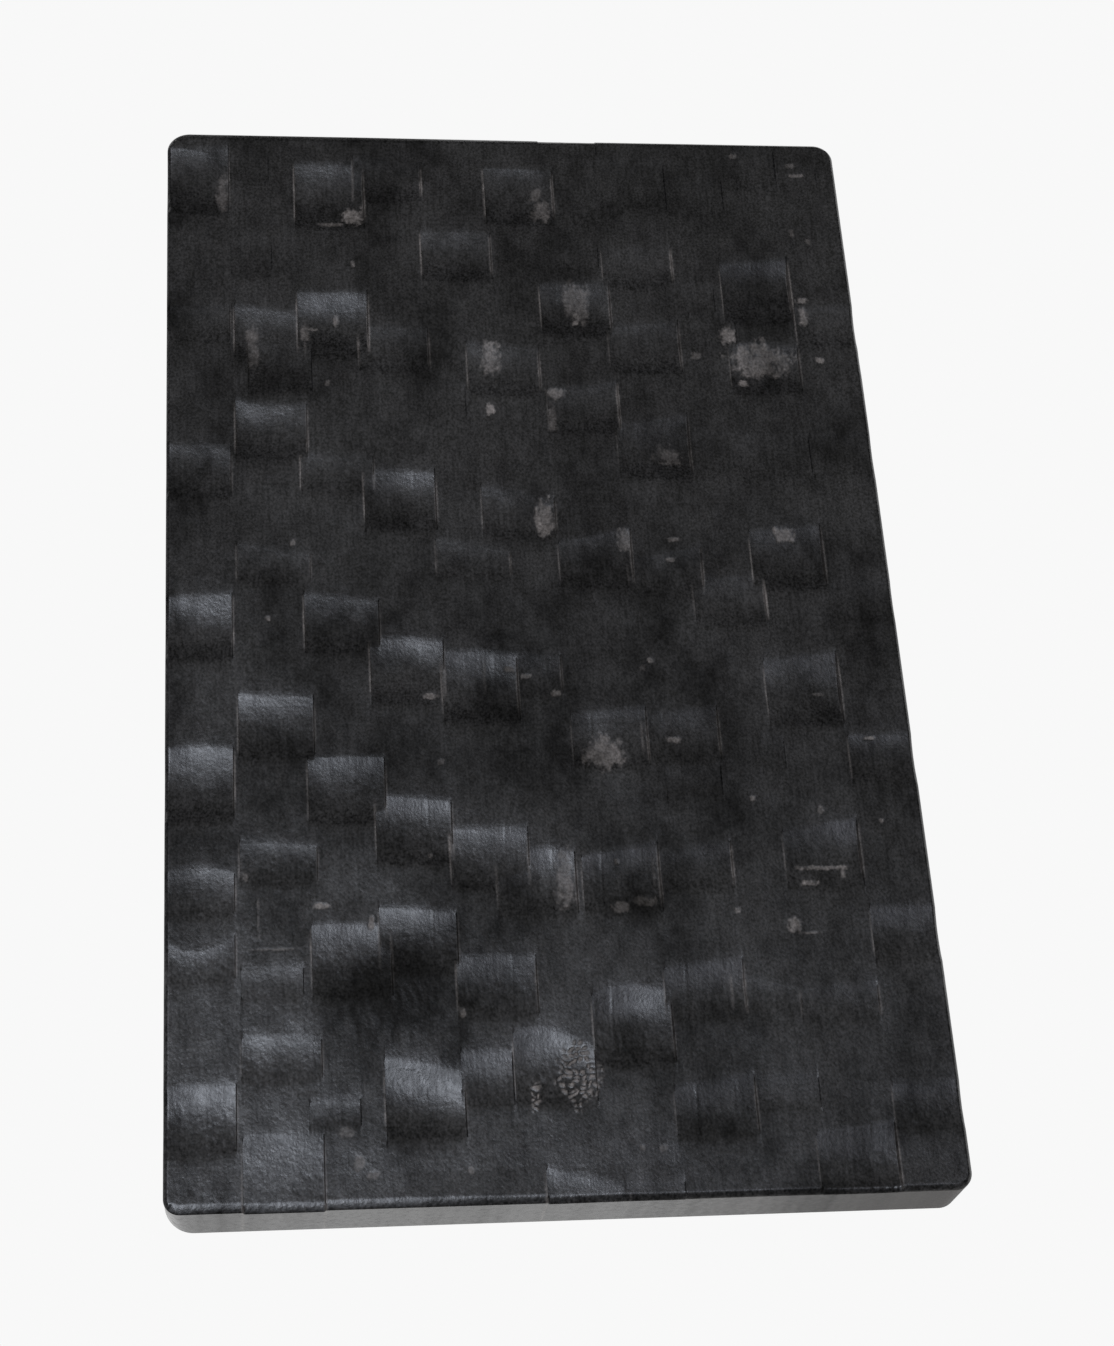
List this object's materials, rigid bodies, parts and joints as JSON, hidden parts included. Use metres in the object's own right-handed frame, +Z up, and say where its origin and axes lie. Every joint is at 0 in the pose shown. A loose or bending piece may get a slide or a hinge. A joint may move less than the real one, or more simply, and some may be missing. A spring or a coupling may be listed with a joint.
{
  "type": "scooped wooden board",
  "caption": "Rectangular board of edge-glued staves, rounded at its corners and edges, with staggered scoops carved across its top and a charcoal-black finish.",
  "frame": {"origin": "middle of the board's flat underside, on the surface it lies on", "axes": "+X across the staves to the right, +Y along the staves away from the front edge, +Z up out of the carved top"},
  "size_m": [0.3, 0.488, 0.027],
  "materials": {
    "charcoal_wood": "satin"
  },
  "bodies": {
    "root": {"stave_01": "charcoal_wood", "stave_02": "charcoal_wood", "stave_03": "charcoal_wood", "stave_04": "charcoal_wood", "stave_05": "charcoal_wood", "stave_06": "charcoal_wood", "stave_07": "charcoal_wood", "stave_08": "charcoal_wood", "stave_09": "charcoal_wood", "stave_10": "charcoal_wood", "stave_11": "charcoal_wood"}
  },
  "joints": []
}
